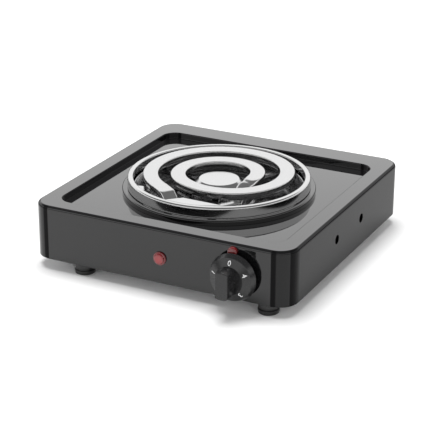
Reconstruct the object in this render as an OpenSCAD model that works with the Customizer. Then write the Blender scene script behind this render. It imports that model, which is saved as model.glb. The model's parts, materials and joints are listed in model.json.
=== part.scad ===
/* [Body] */
// Width of the pressed body
body_w = 250; // [240:1:270]
// Depth of the pressed body, front panel to rear panel
body_d = 253; // [245:1:270]
// Height of the pressed body, from its lower edge to the rim
body_h = 50; // [48:0.5:60]
// Radius of the body's upright corners
corner_r = 18; // [14:0.5:22]
// Radius of the fold along the top edge
edge_r = 3; // [2:0.5:4]
// Thickness of the body's sheet steel
sheet_t = 0.8; // [0.6:0.1:1]

/* [Recessed top] */
// Width of the sunk field round the burner
recess_w = 216; // [206:1:218]
// Depth of the sunk field, front to back
recess_d = 208; // [200:1:212]
// How far the sunk field lies below the rim
recess_drop = 6; // [4:0.5:7]
// Corner radius of the sunk field
recess_r = 13; // [10:0.5:16]
// Distance of the sunk field's centre in front of the body's centre
recess_shift = 5; // [3:0.5:7]

/* [Burner] */
// Distance of the burner's centre in front of the body's centre
burner_shift = 7; // [5:0.5:9]
// Outer radius of the bright trim ring
ring_ro = 82.8; // [80:0.2:84]
// Inner radius of the bright trim ring
ring_ri = 77.5; // [76:0.5:78]
// Height of the trim ring's top above the rim
ring_rise = 8.6; // [7:0.2:10]
// Width of the heating tube's flat top
tube_w = 13.7; // [12:0.1:14]
// Height of the heating tube's section
tube_h = 8.5; // [7:0.1:9]
// Radius of the centre cap's rim
cap_r = 22.5; // [20:0.1:24]

/* [Control knob] */
// Distance of the knob to the right of the body's centre
knob_x = 75.5; // [70:0.5:78]
// Height of the knob's axis above the table
knob_z = 32.5; // [31:0.5:34]
// Radius of the knob's skirt
knob_r = 21.5; // [19:0.1:21.5]
// How far the knob's grip stands out from the front panel
knob_out = 27.3; // [26:0.1:32]

/* [Lamps and feet] */
// Distance of the pilot lamp to the right of the body's centre
lamp_x = 4.3; // [-20:0.1:20]
// Height of the pilot lamp above the table
lamp_z = 33.3; // [26:0.1:40]
// Height of the rubber feet, below the body's lower edge
foot_h = 10; // [8:0.5:12]

/* [Hidden] */
$fn = 64;

// Reference heights above the table and planes in the body's own axes
base_z = foot_h;
rim_z = base_z + body_h;
field_z = rim_z - recess_drop;
ring_top_z = rim_z + ring_rise;
coil_top_z = ring_top_z + 1.2;
coil_low_z = coil_top_z - tube_h;
front_y = -body_d / 2;
rear_y = body_d / 2;
burner_y = -burner_shift;
gland_out = 3;
// The origin is under the middle of the whole box, knob and gland included
body_y = (knob_out - gland_out) / 2;

// Sheet parts of the burner
seat_r = 87.6;
seat_h = 4.6;
hole_r = 80;
pan_rim_z = field_z + seat_h;
pan_t = 0.6;
pan_floor_z = base_z + 36;
ring_foot_z = pan_rim_z + pan_t;
arm_w = 9;
arm_angles = [52, 172, 292];
arm_h = 4;
bolt_r = 2;

// Base plate
plate_gap = 0.5;
plate_z = base_z + 1;
flange_z = plate_z + sheet_t;
flange_w = 5.5;
flange_ri = corner_r - sheet_t - flange_w;
screw_inset = 4.5;
base_screw_at = [for (x = [-1, 1], y = [-1, 0, 1]) [x * (body_w / 2 - screw_inset), y * 95]];
foot_at = [[-77, -115.5], [101, -115.5], [-77, 115.5], [101, 115.5]];
foot_r = 9.3;

// Heating tube: leading sizes of its path, seen from above and turning anticlockwise
coil_r_in = 37;
coil_r_out = 65;
coil_end_a = 598;
leg_in_end = [8, -78, base_z + 42];
leg_out_end = [-8, -78, base_z + 41];

function smooth(u) = let (v = min(1, max(0, u))) v * v * (3 - 2 * v);
// Radius of the tube's centre line at turn angle a
function coil_r(a) = coil_r_in - 7 * (1 - smooth((a + 10) / 85))
    + (coil_r_out - coil_r_in) * smooth((a - 240) / 190) - 4.5 * smooth((a - 470) / 150);
function coil_xy(a) = [coil_r(a) * cos(a), coil_r(a) * sin(a) + burner_y];

module place() { translate([0, body_y, 0]) children(); }
module at_burner(z = 0) { place() translate([0, burner_y, z]) children(); }
// Turns a shape drawn along +Z so that it points out of the front panel
module at_front(x, z, out = 0) {
    place() translate([x, front_y - out, z]) rotate([90, 0, 0]) children();
}

module rounded_rect(w, d, r) {
    square([w - 2 * r, d], center = true);
    square([w, d - 2 * r], center = true);
    for (x = [-1, 1], y = [-1, 1]) translate([x * (w / 2 - r), y * (d / 2 - r)]) circle(r);
}

// Carries a wall section round a rounded rectangle; the section's x is counted from corner centres
module round_wall(w, d, r) {
    for (turn = [0 : 3]) {
        hx = (turn % 2 == 0 ? w : d) / 2 - r;
        hy = (turn % 2 == 0 ? d : w) / 2 - r;
        rotate(90 * turn) {
            translate([hx, 0, 0]) rotate([90, 0, 0]) linear_extrude(2 * hy, center = true) children();
            translate([hx, hy, 0]) rotate_extrude(angle = 90) children();
        }
    }
}

module shell_section() {
    translate([corner_r - sheet_t, base_z]) square([sheet_t, body_h - edge_r]);
    translate([flange_ri, flange_z]) square([flange_w + sheet_t / 2, sheet_t]);
    intersection() {
        translate([corner_r - edge_r, rim_z - edge_r]) difference() {
            circle(edge_r);
            circle(edge_r - sheet_t);
        }
        translate([corner_r - edge_r, rim_z - edge_r]) square(edge_r);
    }
    translate([corner_r - edge_r - 2, rim_z - sheet_t]) square([2, sheet_t]);
}

module side_hole(y, z, r, side) {
    translate([side * (body_w / 2 - 4), y, z]) rotate([0, 90, 0]) cylinder(h = 12, r = r, center = true);
}
vent_y = [27.3, -28.3];
vent_z = base_z + 26.9;
vent_r = 4.2;
gland_x = -40;
gland_z = base_z + 22;
gland_hole_r = 6.5;
clamp_screw_at = [[gland_x - 13, rear_y - 22], [gland_x + 13, rear_y - 22]];
stat_screw_dx = 11;
earth_at = [-100, 70];
block_at = [-45, -96];
block_screw_at = [[block_at[0] - 12, block_at[1]], [block_at[0] + 12, block_at[1]]];
index_x = knob_x - 2.3;
index_z = rim_z - 6.5;
index_r = 4.2;
index_stem_r = 2.2;

module panel_hole(x, z, r) {
    translate([x, front_y + 4, z]) rotate([90, 0, 0]) cylinder(h = 10, r = r);
}

module top_housing() {
    color("dimgray") place() difference() {
        union() {
            round_wall(body_w, body_d, corner_r) shell_section();
            translate([0, 0, rim_z - sheet_t]) linear_extrude(sheet_t) difference() {
                rounded_rect(body_w - 2 * edge_r - 4, body_d - 2 * edge_r - 4, corner_r - edge_r - 2);
                translate([0, -recess_shift]) rounded_rect(recess_w, recess_d, recess_r);
            }
            translate([0, -recess_shift, 0]) {
                round_wall(recess_w, recess_d, recess_r)
                    translate([recess_r, field_z - sheet_t]) square([sheet_t, recess_drop]);
                translate([0, 0, field_z - sheet_t]) linear_extrude(sheet_t)
                    rounded_rect(recess_w, recess_d, recess_r);
            }
        }
        translate([0, burner_y, field_z - 5]) cylinder(h = 10, r = hole_r);
        for (y = vent_y, side = [-1, 1]) side_hole(y, vent_z, vent_r, side);
        panel_hole(knob_x, knob_z, 5);
        for (s = [-1, 1]) panel_hole(knob_x + s * stat_screw_dx, knob_z, 2.1);
        panel_hole(lamp_x, lamp_z, 5);
        panel_hole(index_x, index_z, index_stem_r + 0.1);
        translate([gland_x, rear_y + 4, gland_z]) rotate([90, 0, 0]) cylinder(h = 10, r = gland_hole_r);
        for (p = base_screw_at) translate([p[0], p[1], flange_z - 1]) cylinder(h = 4, r = 1.4);
    }
}

module vent_slot(x, y) {
    translate([x, y, plate_z - 1]) linear_extrude(4) {
        square([5, 26], center = true);
        for (s = [-1, 1]) translate([0, 13 * s]) circle(2.5);
    }
}

module base_plate() {
    inset = 2 * (sheet_t + plate_gap);
    color("silver") place() difference() {
        translate([0, 0, plate_z]) linear_extrude(sheet_t)
            rounded_rect(body_w - inset, body_d - inset, corner_r - inset / 2);
        for (x = [-48 : 16 : 48], y = [-40, 40]) vent_slot(x, y);
        for (p = base_screw_at) translate([p[0], p[1], plate_z - 1]) cylinder(h = 4, r = 1.9);
        for (p = foot_at) translate([p[0], p[1], plate_z - 1]) cylinder(h = 4, r = 2.2);
        for (p = block_screw_at) translate([p[0], p[1], plate_z - 1]) cylinder(h = 4, r = 1.6);
        for (p = clamp_screw_at) translate([p[0], p[1], plate_z - 1]) cylinder(h = 4, r = 1.6);
        translate([earth_at[0], earth_at[1], plate_z - 1]) cylinder(h = 4, r = 2.1);
    }
}

// Black ring with a turned-in top that carries the drip pan
module burner_seat() {
    color("black") at_burner() rotate_extrude($fn = 96) {
        translate([seat_r - 1, field_z]) square([1, seat_h]);
        translate([hole_r - 3, pan_rim_z - 1]) square([seat_r - hole_r + 3, 1]);
    }
}

pan_ro = 81.5;
pan_ri = 76.5;
pan_floor_r = 64;
module drip_pan() {
    color("silver") at_burner() difference() {
        rotate_extrude($fn = 96) {
            translate([pan_ri - 1, pan_rim_z]) square([pan_ro - pan_ri + 1, pan_t]);
            polygon([[pan_ri, pan_rim_z + pan_t], [pan_ri - 1, pan_rim_z + pan_t],
                [pan_floor_r - 1, pan_floor_z + pan_t], [0, pan_floor_z + pan_t], [0, pan_floor_z],
                [pan_floor_r, pan_floor_z]]);
        }
        translate([0, 0, pan_floor_z - 1]) cylinder(h = 4, r = bolt_r + 0.3);
        translate([-28, -pan_ri, pan_floor_z - 1]) cube([46, 22, pan_rim_z - pan_floor_z - 1]);
    }
}

shoulder_r = 2;
ring_t = 0.8;
tab_y = -66;
module trim_ring() {
    color("gainsboro") at_burner() {
        rotate_extrude($fn = 96) {
            translate([ring_ro - ring_t, ring_foot_z]) square([ring_t, ring_top_z - shoulder_r - ring_foot_z]);
            translate([ring_ri, coil_low_z + 0.7]) square([ring_t, ring_top_z - coil_low_z - 0.7]);
            translate([ring_ri, ring_top_z - ring_t]) square([ring_ro - ring_ri - shoulder_r, ring_t]);
            translate([ring_ro - shoulder_r, ring_top_z - shoulder_r]) intersection() {
                difference() {
                    circle(shoulder_r);
                    circle(shoulder_r - ring_t);
                }
                square(shoulder_r);
            }
        }
        // Tab over the terminals, with a slanted left end that lets the tube's ends pass
        translate([0, 0, ring_top_z - 2 * ring_t]) linear_extrude(ring_t) intersection() {
            circle(ring_ri + ring_t / 2, $fn = 96);
            polygon([[-2, tab_y], [42, tab_y - 2], [60, -90], [-26, -90]]);
        }
    }
}

hub_r = 12;
module spider_arm() {
    translate([0, -arm_w / 2, coil_low_z - ring_t]) cube([79, arm_w, ring_t]);
    for (s = [-1, 1]) translate([0, s * (arm_w / 2 - ring_t / 2) - ring_t / 2, 0]) {
        translate([0, 0, coil_low_z - arm_h]) cube([72, ring_t, arm_h - ring_t]);
        translate([72, 0, ring_foot_z]) cube([7, ring_t, coil_low_z - ring_t - ring_foot_z]);
    }
}
module support_spider() {
    color("silver") at_burner() difference() {
        union() {
            for (a = arm_angles) rotate(a) spider_arm();
            translate([0, 0, coil_low_z - ring_t]) cylinder(h = ring_t, r = hub_r);
        }
        translate([0, 0, coil_low_z - arm_h - 1]) cylinder(h = arm_h - ring_t + 1, r = hub_r - 1);
        translate([0, 0, coil_low_z - 2]) cylinder(h = 4, r = bolt_r + 0.2);
    }
}

// Section of the tube: a flat top, round shoulders and a round belly
function tube_section() = let (w = tube_w / 2, h = tube_h / 2) [
    [w - 1.2, h], [w, h - 1.6], [w - 0.4, -h + 3.2], [w - 2.6, -h + 0.8],
    [-w + 2.6, -h + 0.8], [-w + 0.4, -h + 3.2], [-w, h - 1.6], [-w + 1.2, h]];
coil_mid_z = coil_top_z - tube_h / 2;
coil_step = 8;
coil_start_a = 8;
function leg_points(from, to, n, dip) = [for (i = [1 : n]) let (u = i / n)
    [from[0] + (to[0] - from[0]) * u, from[1] + (to[1] - from[1]) * u, from[2] + (to[2] - from[2]) * smooth(u * dip)]];
function reversed(list) = [for (i = [len(list) - 1 : -1 : 0]) list[i]];
inner_start = concat(coil_xy(coil_start_a), [coil_mid_z]);
inner_turn = [27, -30, base_z + 42];
outer_start = concat(coil_xy(coil_end_a), [coil_mid_z]);
tube_path = concat(
    reversed(concat(leg_points(inner_start, inner_turn, 5, 1), leg_points(inner_turn, leg_in_end, 4, 1))),
    [for (a = [coil_start_a : coil_step : coil_end_a]) concat(coil_xy(a), [coil_mid_z])],
    leg_points(outer_start, leg_out_end, 5, 1.3));

function unit(v) = v / norm(v);
// A closed skin that carries a section along a path; side is level, up is square to the path
module swept(path, section) {
    n = len(path);
    m = len(section);
    ring_points = [for (i = [0 : n - 1])
        let (along = unit(path[min(i + 1, n - 1)] - path[max(i - 1, 0)]),
            side = unit(cross([0, 0, 1], along)), up = cross(along, side))
        for (p = section) path[i] - side * p[0] + up * p[1]];
    skin = [for (i = [0 : n - 2], j = [0 : m - 1])
        let (a = i * m + j, b = i * m + (j + 1) % m) [a, a + m, b + m, b]];
    polyhedron(ring_points, concat(skin, [[for (j = [0 : m - 1]) j]],
        [[for (j = [m - 1 : -1 : 0]) (n - 1) * m + j]]));
}

module heating_coil() {
    color("gainsboro") place() swept(tube_path, tube_section());
}

cap_top_z = coil_top_z - 5.2;
cap_flat_r = 18.2;
cap_edge_drop = 2.9;
module centre_cap() {
    color("gainsboro") at_burner() rotate_extrude()
        polygon([[0, cap_top_z], [cap_flat_r, cap_top_z], [cap_r, cap_top_z - cap_edge_drop],
            [cap_r - 0.4, cap_top_z - cap_edge_drop - 0.3], [cap_r - 1, cap_top_z - cap_edge_drop],
            [cap_flat_r - 0.4, cap_top_z - 0.8], [bolt_r + 2, cap_top_z - 0.8], [bolt_r + 2, coil_low_z],
            [bolt_r, coil_low_z], [bolt_r, cap_top_z - 0.8], [0, cap_top_z - 0.8]]);
}

bolt_low_z = base_z + 27;
bar_z = field_z - sheet_t;
module hold_down_bolt() {
    color("silver") at_burner(bolt_low_z) cylinder(h = cap_top_z - 0.8 - bolt_low_z, r = bolt_r - 0.05);
}

// Strap across the burner hole, under the sunk field, that the bolt pulls against
bar_drop_z = pan_floor_z - 3;
module bridge_bar() {
    half = hole_r + 12;
    color("silver") at_burner() difference() {
        union() {
            for (s = [-1, 1]) {
                translate([s > 0 ? hole_r - 3 : -half, -8, bar_z - 1.2]) cube([half - hole_r + 3, 16, 1.2]);
                translate([s > 0 ? hole_r - 3 : 1.8 - hole_r, -8, bar_drop_z]) cube([1.2, 16, bar_z - bar_drop_z]);
            }
            translate([1.8 - hole_r, -8, bar_drop_z]) cube([2 * hole_r - 3.6, 16, 1.2]);
        }
        translate([0, 0, bar_drop_z - 1]) cylinder(h = 4, r = bolt_r + 0.2);
    }
}

module bridge_nut() {
    color("silver") at_burner() {
        translate([0, 0, bar_drop_z - 3.2]) difference() {
            cylinder(h = 3.2, r = 4, $fn = 6);
            translate([0, 0, -1]) cylinder(h = 6, r = bolt_r);
        }
    }
}

// Plate under the tube's outer end that ties it to the pan's rim
module terminal_bracket() {
    color("silver") place() {
        translate([0, 0, coil_low_z - 1.2]) linear_extrude(1)
            polygon([[-59, -58], [-63, -49], [-28, -40], [-7, -44], [-7, -57], [-26, -52]]);
        translate([0, 0, ring_foot_z]) linear_extrude(coil_low_z - 1.2 - ring_foot_z)
            polygon([[-59, -58], [-63, -49], [-61.2, -48.5], [-57.2, -57.5]]);
    }
}

pin_low_z = base_z + 20;
module coil_end_insulators() {
    color("ivory") place() for (p = [leg_in_end, leg_out_end])
        translate([p[0], p[1] - 1, p[2] - 11]) difference() {
            cylinder(h = 7, r = 4);
            translate([0, 0, -1]) cylinder(h = 9, r = 1.6);
        }
}
module coil_terminal_pins() {
    color("silver") place() for (p = [leg_in_end, leg_out_end])
        translate([p[0], p[1] - 1, pin_low_z]) cylinder(h = p[2] - 3.7 - pin_low_z, r = 1.5);
}

block_size = [44, 16, 14];
module terminal_block() {
    color("ivory") place() translate([block_at[0], block_at[1], flange_z]) difference() {
        translate([0, 0, block_size[2] / 2]) cube(block_size, center = true);
        for (s = [-1, 0, 1]) {
            translate([s * 14 + 4 * s, 0, 8]) rotate([90, 0, 0]) cylinder(h = 30, r = 2.2, center = true);
            translate([s * 14 + 4 * s, 0, 8]) cylinder(h = 10, r = 2);
        }
        for (s = [-1, 1]) translate([s * 12, 0, -1]) cylinder(h = 20, r = 1.7);
    }
}
module terminal_screws() {
    color("gold") place() for (s = [-1, 0, 1])
        translate([block_at[0] + s * 18, block_at[1], flange_z + 10.5]) cylinder(h = 3, r = 1.9);
}
module terminal_block_screws() {
    color("silver") place() for (p = block_screw_at) translate([p[0], p[1], plate_z - 1.5]) {
        cylinder(h = 1.5, r = 3);
        cylinder(h = 14, r = 1.5);
    }
}

// Thermostat behind the knob, measured inwards from the panel's inner face
stat_face_y = front_y + sheet_t;
plate_t = 1.2;
stat_depth = 21;
stat_size = [34, 30];
module inwards(dx, dz, depth) {
    place() translate([knob_x + dx, stat_face_y + depth, knob_z + dz]) rotate([-90, 0, 0]) children();
}
module thermostat_bracket() {
    color("silver") difference() {
        inwards(0, 0, 0) translate([-20, -9, 0]) cube([40, 18, plate_t]);
        inwards(0, 0, -1) cylinder(h = 4, r = 5);
        for (s = [-1, 1]) inwards(s * stat_screw_dx, 0, -1) cylinder(h = 4, r = 1.95);
    }
}
pin_r = 2;
shaft_r = 3;
shaft_in = 12;
stat_wall = 3;
module thermostat_body() {
    color("ivory") difference() {
        inwards(-stat_size[0] / 2, -stat_size[1] / 2, plate_t)
            translate([0, -stat_size[1], 0]) cube([stat_size[0], stat_size[1], stat_depth]);
        inwards(0, 0, plate_t - 1) cylinder(h = shaft_in - plate_t + 1, r = shaft_r + 0.05);
        inwards(0, 0, plate_t) cylinder(h = stat_depth - 7, r = pin_r + 0.05);
        // Open chamber at the rear for the contacts
        inwards(0, 0, plate_t + stat_depth - 7)
            translate([-stat_size[0] / 2 + stat_wall, -stat_size[1] / 2 + stat_wall, 0])
                cube([stat_size[0] - 2 * stat_wall, stat_size[1] - 2 * stat_wall, 8]);
        for (s = [-1, 1]) inwards(s * stat_screw_dx, 0, plate_t - 1) cylinder(h = 7, r = 1.95);
    }
}
module thermostat_screws() {
    color("silver") for (s = [-1, 1]) {
        inwards(s * stat_screw_dx, 0, -sheet_t - 1.6) cylinder(h = 1.6, r = 3.2);
        inwards(s * stat_screw_dx, 0, -sheet_t) cylinder(h = 6, r = 1.9);
    }
}
shaft_out = 16;
module thermostat_shaft() {
    color("silver") difference() {
        inwards(0, 0, -sheet_t - shaft_out) cylinder(h = shaft_out + sheet_t + shaft_in - 0.3, r = shaft_r);
        inwards(0, 0, -sheet_t - shaft_out - 1) translate([-4, 1.5, 0]) cube([8, 4, 11]);
    }
}
module setting_pin() {
    color("white") inwards(0, 0, shaft_in) cylinder(h = 4.6, r = pin_r);
}
chamber_depth = plate_t + stat_depth - 7;
module bimetal_strip() {
    color("silver") inwards(0, 0, chamber_depth) translate([-3.5, 5, 0.2]) cube([7, 0.6, 6.2]);
}
module contact_leaves() {
    color("gold") for (z = [2.6, 4.8]) inwards(0, 0, chamber_depth + z)
        translate([-11, -3, 0]) cube([22, 6, 0.5]);
}
tab_dx = 12.6;
module thermostat_tabs() {
    color("gold") for (s = [-1, 1]) inwards(0, 0, plate_t + stat_depth - 4)
        translate([s * tab_dx - 0.4, -3.2, 0]) cube([0.8, 6.4, 11]);
}

skirt_back = 4.5;
skirt_mid = 5.5;
skirt_front = 10;
skirt_front_r = 19.1;
disc_r = 12;
disc_out = 13.5;
neck_r = 16;
hollow_out = 9;
grip_r = 12.1;
grip_w = 11.3;
module knob() {
    color("black") at_front(knob_x, knob_z) difference() {
        union() {
            rotate_extrude() polygon([[0, 0.8], [neck_r, 0.8], [neck_r, skirt_back], [knob_r, skirt_back],
                [knob_r, skirt_mid], [skirt_front_r, skirt_front], [disc_r, disc_out], [0, disc_out]]);
            intersection() {
                translate([-grip_w / 2, -20, skirt_front]) cube([grip_w, 40, knob_out - skirt_front]);
                translate([0, 0, skirt_front]) cylinder(h = knob_out - skirt_front, r = grip_r);
            }
        }
        // Hollow back with a hub round the shaft
        translate([0, 0, -1]) difference() {
            cylinder(h = hollow_out + 1, r = neck_r - 1);
            cylinder(h = hollow_out + 2, r = 6.5);
        }
        difference() {
            translate([0, 0, -1]) cylinder(h = shaft_out + 1.3, r = shaft_r + 0.02);
            translate([-4, -5.5, shaft_out - 10]) cube([8, 4, 12]);
        }
    }
}
module knob_spring_clip() {
    color("silver") at_front(knob_x, knob_z, 2) difference() {
        cylinder(h = 5, r = 7.1);
        translate([0, 0, -1]) cylinder(h = 7, r = 6.55);
        translate([0, -10, -1]) cube([10, 20, 7]);
    }
}

module pilot_lens() {
    color("red") at_front(lamp_x, lamp_z) rotate_extrude()
        polygon([[0, 0], [6, 0], [6, 1.6], [5.4, 2.4], [3.6, 3], [0, 3.2]]);
}
module pilot_lamp_body() {
    color("white") at_front(lamp_x, lamp_z) translate([0, 0, -16]) cylinder(h = 16, r = 4.8);
}
module pilot_lamp_clip() {
    color("silver") at_front(lamp_x, lamp_z) translate([0, 0, -sheet_t - 1.2]) difference() {
        cylinder(h = 1.2, r = 7.5);
        translate([0, 0, -1]) cylinder(h = 4, r = 4.85);
    }
}
module index_lens() {
    color("red") at_front(index_x, index_z) {
        cylinder(h = 3.6, r = index_r);
        translate([0, 0, -6]) cylinder(h = 6, r = index_stem_r);
    }
}
module index_lens_clip() {
    color("silver") at_front(index_x, index_z) translate([0, 0, -sheet_t - 1]) difference() {
        cylinder(h = 1, r = 3.4);
        translate([0, 0, -1]) cylinder(h = 3, r = index_stem_r + 0.05);
    }
}

module foot(index) {
    color("black") place() translate([foot_at[index][0], foot_at[index][1], 0]) rotate_extrude()
        polygon([[0, 3], [4, 3], [4, 0], [foot_r - 0.6, 0], [foot_r, 0.8], [foot_r, 3.4],
            [foot_r - 1, 3.8], [foot_r - 1, 4.8], [foot_r - 0.4, 5.2], [foot_r - 1.2, plate_z],
            [2.1, plate_z], [2.1, 5], [0, 5]]);
}
module foot_screws() {
    color("silver") place() for (p = foot_at) translate([p[0], p[1], 5]) {
        cylinder(h = plate_z + sheet_t + 4 - 5, r = 2);
        translate([0, 0, plate_z + sheet_t - 5]) cylinder(h = 2.6, r = 3.6, $fn = 6);
    }
}
module base_screws() {
    color("silver") place() for (p = base_screw_at) translate([p[0], p[1], plate_z - 1.8]) {
        cylinder(h = 1.8, r = 3.2);
        cylinder(h = 8, r = 1.3);
    }
}

gland_bore_r = 3.6;
module cord_gland() {
    color("black") place() translate([gland_x, rear_y + gland_out, gland_z]) rotate([90, 0, 0])
        rotate_extrude() polygon([[gland_bore_r, 0], [7.5, 0], [8.5, gland_out], [gland_hole_r - 0.1, gland_out],
            [gland_hole_r - 0.1, gland_out + sheet_t], [8, gland_out + sheet_t], [7.6, gland_out + 8],
            [gland_bore_r, gland_out + 8]]);
}
clamp_base = [36, 10, 12];
clamp_post_w = 14;
// Two screwed feet and a post whose half-round saddle holds the cord level with the gland's bore
module cord_clamp() {
    cord_z = gland_z - flange_z;
    color("ivory") place() translate([gland_x, rear_y - 22, flange_z]) difference() {
        union() {
            translate([-clamp_base[0] / 2, -clamp_base[1] / 2, 0]) cube(clamp_base);
            translate([-clamp_post_w / 2, -clamp_base[1] / 2, 0]) cube([clamp_post_w, clamp_base[1], cord_z]);
        }
        translate([0, 0, cord_z]) rotate([90, 0, 0]) cylinder(h = 20, r = gland_bore_r, center = true);
        for (s = [-1, 1]) translate([s * 13, 0, -1]) cylinder(h = 20, r = 1.7);
    }
}
module cord_clamp_screws() {
    color("silver") place() for (p = clamp_screw_at) translate([p[0], p[1], plate_z - 1.5]) {
        cylinder(h = 1.5, r = 3);
        cylinder(h = 12, r = 1.5);
    }
}

module earth_stud() {
    color("silver") place() translate([earth_at[0], earth_at[1], plate_z - 2]) {
        cylinder(h = 2, r = 3.6);
        cylinder(h = 16, r = 2);
    }
}
module earth_nut() {
    color("gold") place() translate([earth_at[0], earth_at[1], flange_z]) difference() {
        union() {
            cylinder(h = 0.8, r = 4.5);
            translate([0, 0, 0.8]) cylinder(h = 3.2, r = 4, $fn = 6);
        }
        translate([0, 0, -1]) cylinder(h = 6, r = 2);
    }
}

wire_r = 1.2;
wire_section = [for (i = [0 : 7]) wire_r * [cos(-45 * i), sin(-45 * i)]];
// Points of a cubic curve through four control points
function bend(a, b, c, d, n = 12) = [for (i = [0 : n]) let (u = i / n, v = 1 - u)
    v * v * v * a + 3 * v * v * u * b + 3 * v * u * u * c + u * u * u * d];
block_y = block_at[1];
wire_z = flange_z + 8;
block_back = block_y + block_size[1] / 2;
stat_back_y = stat_face_y + plate_t + stat_depth + 7;
module wire(a, b, c, d, tint) {
    color(tint) place() swept(bend(a, b, c, d), wire_section);
}
module wire_live() {
    wire([block_at[0] + 18, block_back, wire_z], [block_at[0] + 18, block_back + 18, wire_z],
        [knob_x - tab_dx, stat_back_y + 26, knob_z - 4], [knob_x - tab_dx, stat_back_y + 0.2, knob_z],
        "saddlebrown");
}
module wire_switched() {
    wire([knob_x + tab_dx, stat_back_y + 0.2, knob_z], [knob_x + tab_dx, stat_back_y + 30, knob_z],
        [leg_in_end[0] + 34, leg_in_end[1] - 1, pin_low_z + 2],
        [leg_in_end[0] + 1.7, leg_in_end[1] - 1, pin_low_z + 2], "saddlebrown");
}
module wire_neutral() {
    wire([block_at[0], block_back, wire_z], [block_at[0], block_back + 14, wire_z],
        [leg_out_end[0] - 18, leg_out_end[1] - 1, pin_low_z + 2],
        [leg_out_end[0] - 1.7, leg_out_end[1] - 1, pin_low_z + 2], "steelblue");
}
module wire_earth() {
    wire([block_at[0] - 18, block_back, wire_z], [block_at[0] - 18, -50, wire_z],
        [-80, 20, base_z + 8], [earth_at[0] + 4.6, earth_at[1] - 4, base_z + 5.2], "yellowgreen");
}
module wire_lamp(x, tint) {
    wire([lamp_x + x, front_y + 16.15, lamp_z], [lamp_x + x, front_y + 28, lamp_z],
        [block_at[0] + 40, block_y + 1.5 * x, wire_z],
        [block_at[0] + block_size[0] / 2 + 0.15, block_y + 1.5 * x, wire_z], tint);
}

top_housing();
base_plate();
burner_seat();
drip_pan();
trim_ring();
support_spider();
heating_coil();
centre_cap();
hold_down_bolt();
bridge_bar();
bridge_nut();
terminal_bracket();
coil_end_insulators();
coil_terminal_pins();
terminal_block();
terminal_screws();
terminal_block_screws();
thermostat_bracket();
thermostat_body();
thermostat_shaft();
thermostat_screws();
setting_pin();
bimetal_strip();
contact_leaves();
thermostat_tabs();
knob();
knob_spring_clip();
pilot_lens();
pilot_lamp_body();
pilot_lamp_clip();
index_lens();
index_lens_clip();
foot(0);  // foot_front_left
foot(1);  // foot_front_right
foot(2);  // foot_rear_left
foot(3);  // foot_rear_right
foot_screws();
base_screws();
cord_gland();
cord_clamp();
cord_clamp_screws();
earth_stud();
earth_nut();
wire_live();
wire_switched();
wire_neutral();
wire_earth();
wire_lamp(-2, "saddlebrown");  // wire_lamp_live
wire_lamp(2, "steelblue");  // wire_lamp_neutral
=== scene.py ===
"""Visual model of a table-top electric hot plate: its surfaces, finishes, studio and camera."""

import json
import math

import bmesh
import bpy
import numpy as np
from bpy.props import FloatProperty, FloatVectorProperty, IntProperty, PointerProperty
from mathutils import Matrix, Vector


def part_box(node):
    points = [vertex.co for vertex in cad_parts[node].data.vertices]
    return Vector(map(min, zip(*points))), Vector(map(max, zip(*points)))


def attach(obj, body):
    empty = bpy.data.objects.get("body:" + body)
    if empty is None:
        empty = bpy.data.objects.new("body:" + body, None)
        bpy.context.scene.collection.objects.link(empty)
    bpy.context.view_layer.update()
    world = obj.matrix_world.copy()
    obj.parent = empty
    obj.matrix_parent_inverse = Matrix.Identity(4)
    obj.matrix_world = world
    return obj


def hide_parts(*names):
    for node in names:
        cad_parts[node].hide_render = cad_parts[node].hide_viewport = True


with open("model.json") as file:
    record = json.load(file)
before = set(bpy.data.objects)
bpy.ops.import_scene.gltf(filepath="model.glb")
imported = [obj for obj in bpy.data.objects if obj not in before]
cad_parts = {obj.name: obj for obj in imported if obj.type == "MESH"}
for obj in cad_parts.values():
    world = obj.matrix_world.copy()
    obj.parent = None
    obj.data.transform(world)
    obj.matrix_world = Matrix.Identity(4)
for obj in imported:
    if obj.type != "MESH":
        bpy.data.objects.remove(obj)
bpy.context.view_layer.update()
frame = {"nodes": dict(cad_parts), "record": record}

bl_info = {
    "name": "Single Burner Hot Plate",
    "version": (1, 0, 0),
    "blender": (4, 5, 0),
    "location": "View3D > Sidebar > Hot Plate",
    "description": "Builds the shells, burner, knob, lamps and feet of an electric hot plate",
    "category": "Object",
}

MM = 0.001


# ---------------------------------------------------------------- sizes from the frame
def span(node):
    """Middle point and half sizes of a CAD node's box."""
    low, high = (np.array(corner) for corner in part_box(node))
    return (low + high) / 2, (high - low) / 2


BODY_MID, BODY_HALF = span("top_housing")
RING_MID, RING_HALF = span("trim_ring")
PAN_MID, PAN_HALF = span("drip_pan")
SEAT_MID, SEAT_HALF = span("burner_seat")
CAP_MID, CAP_HALF = span("centre_cap")
KNOB_MID, KNOB_HALF = span("knob")
COIL_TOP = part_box("heating_coil")[1].z
RIM_Z = BODY_MID[2] + BODY_HALF[2]
LOW_Z = BODY_MID[2] - BODY_HALF[2]
FRONT_Y = BODY_MID[1] - BODY_HALF[1]
REAR_Y = BODY_MID[1] + BODY_HALF[1]
FIELD_Z = SEAT_MID[2] - SEAT_HALF[2]
BURNER = SEAT_MID[:2]
RING_TOP = RING_MID[2] + RING_HALF[2]
SHEET = 0.8 * MM


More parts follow.
